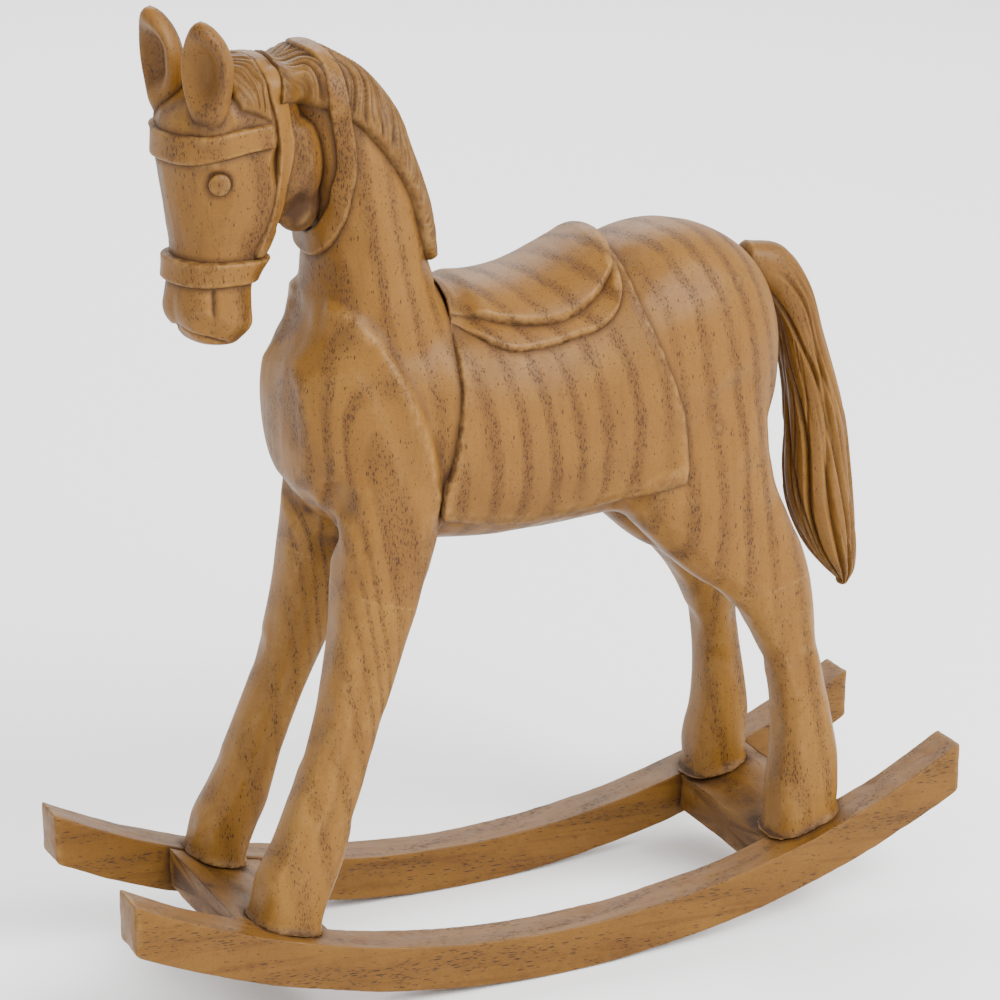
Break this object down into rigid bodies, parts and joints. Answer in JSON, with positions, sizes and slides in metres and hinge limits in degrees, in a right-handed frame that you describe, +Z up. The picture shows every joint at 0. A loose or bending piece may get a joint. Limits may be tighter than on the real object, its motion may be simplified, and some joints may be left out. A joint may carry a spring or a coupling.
{
  "type": "rocking horse figurine",
  "caption": "Small carved wooden rocking horse with saddle, bridle, flowing mane and tail, standing on two bow rockers joined by cross slats.",
  "frame": {"origin": "centre of the footprint at the height the rockers rest on", "axes": "+Z up; the horse faces -X and its left side is -Y; X runs along the rockers"},
  "size_m": [0.192, 0.0578, 0.2062],
  "materials": {
    "blanket": "stained and antiqued carved ash, satin",
    "body": "stained and antiqued carved ash, satin",
    "browband": "stained and antiqued carved ash, satin",
    "dowel_front_leg_left": "unfinished pale dowel",
    "dowel_front_leg_right": "unfinished pale dowel",
    "dowel_head": "unfinished pale dowel",
    "dowel_rear_leg_left": "unfinished pale dowel",
    "dowel_rear_leg_right": "unfinished pale dowel",
    "dowel_tail": "unfinished pale dowel",
    "ear_left": "stained and antiqued carved ash, satin",
    "ear_right": "stained and antiqued carved ash, satin",
    "eye_left": "stained and antiqued carved ash, satin",
    "eye_right": "stained and antiqued carved ash, satin",
    "forelock": "stained and antiqued carved ash, satin",
    "head": "stained and antiqued carved ash, satin",
    "headstall": "stained and antiqued carved ash, satin",
    "leg_front_left": "stained and antiqued carved ash, satin",
    "leg_front_right": "stained and antiqued carved ash, satin",
    "leg_rear_left": "stained and antiqued carved ash, satin",
    "leg_rear_right": "stained and antiqued carved ash, satin",
    "mane": "stained and antiqued carved ash, satin",
    "noseband": "stained and antiqued carved ash, satin",
    "pin_front_hoof_left": "unfinished pale dowel",
    "pin_front_hoof_right": "unfinished pale dowel",
    "pin_front_slat_left": "unfinished pale dowel",
    "pin_front_slat_right": "unfinished pale dowel",
    "pin_rear_hoof_left": "unfinished pale dowel",
    "pin_rear_hoof_right": "unfinished pale dowel",
    "pin_rear_slat_left": "unfinished pale dowel",
    "pin_rear_slat_right": "unfinished pale dowel",
    "rocker_left": "stained and antiqued carved ash, satin",
    "rocker_right": "stained and antiqued carved ash, satin",
    "saddle_seat": "stained and antiqued carved ash, satin",
    "saddle_skirt": "stained and antiqued carved ash, satin",
    "slat_front": "stained and antiqued carved ash, satin",
    "slat_rear": "stained and antiqued carved ash, satin",
    "tail": "stained and antiqued carved ash, satin",
    "throatlatch": "stained and antiqued carved ash, satin"
  },
  "bodies": {
    "root": {"blanket": "blanket", "body": "body", "browband": "browband", "dowel_front_leg_left": "dowel_front_leg_left", "dowel_front_leg_right": "dowel_front_leg_right", "dowel_head": "dowel_head", "dowel_rear_leg_left": "dowel_rear_leg_left", "dowel_rear_leg_right": "dowel_rear_leg_right", "dowel_tail": "dowel_tail", "ear_left": "ear_left", "ear_right": "ear_right", "eye_left": "eye_left", "eye_right": "eye_right", "forelock": "forelock", "head": "head", "headstall": "headstall", "leg_front_left": "leg_front_left", "leg_front_right": "leg_front_right", "leg_rear_left": "leg_rear_left", "leg_rear_right": "leg_rear_right", "mane": "mane", "noseband": "noseband", "pin_front_hoof_left": "pin_front_hoof_left", "pin_front_hoof_right": "pin_front_hoof_right", "pin_front_slat_left": "pin_front_slat_left", "pin_front_slat_right": "pin_front_slat_right", "pin_rear_hoof_left": "pin_rear_hoof_left", "pin_rear_hoof_right": "pin_rear_hoof_right", "pin_rear_slat_left": "pin_rear_slat_left", "pin_rear_slat_right": "pin_rear_slat_right", "rocker_left": "rocker_left", "rocker_right": "rocker_right", "saddle_seat": "saddle_seat", "saddle_skirt": "saddle_skirt", "slat_front": "slat_front", "slat_rear": "slat_rear", "tail": "tail", "throatlatch": "throatlatch"}
  },
  "joints": []
}
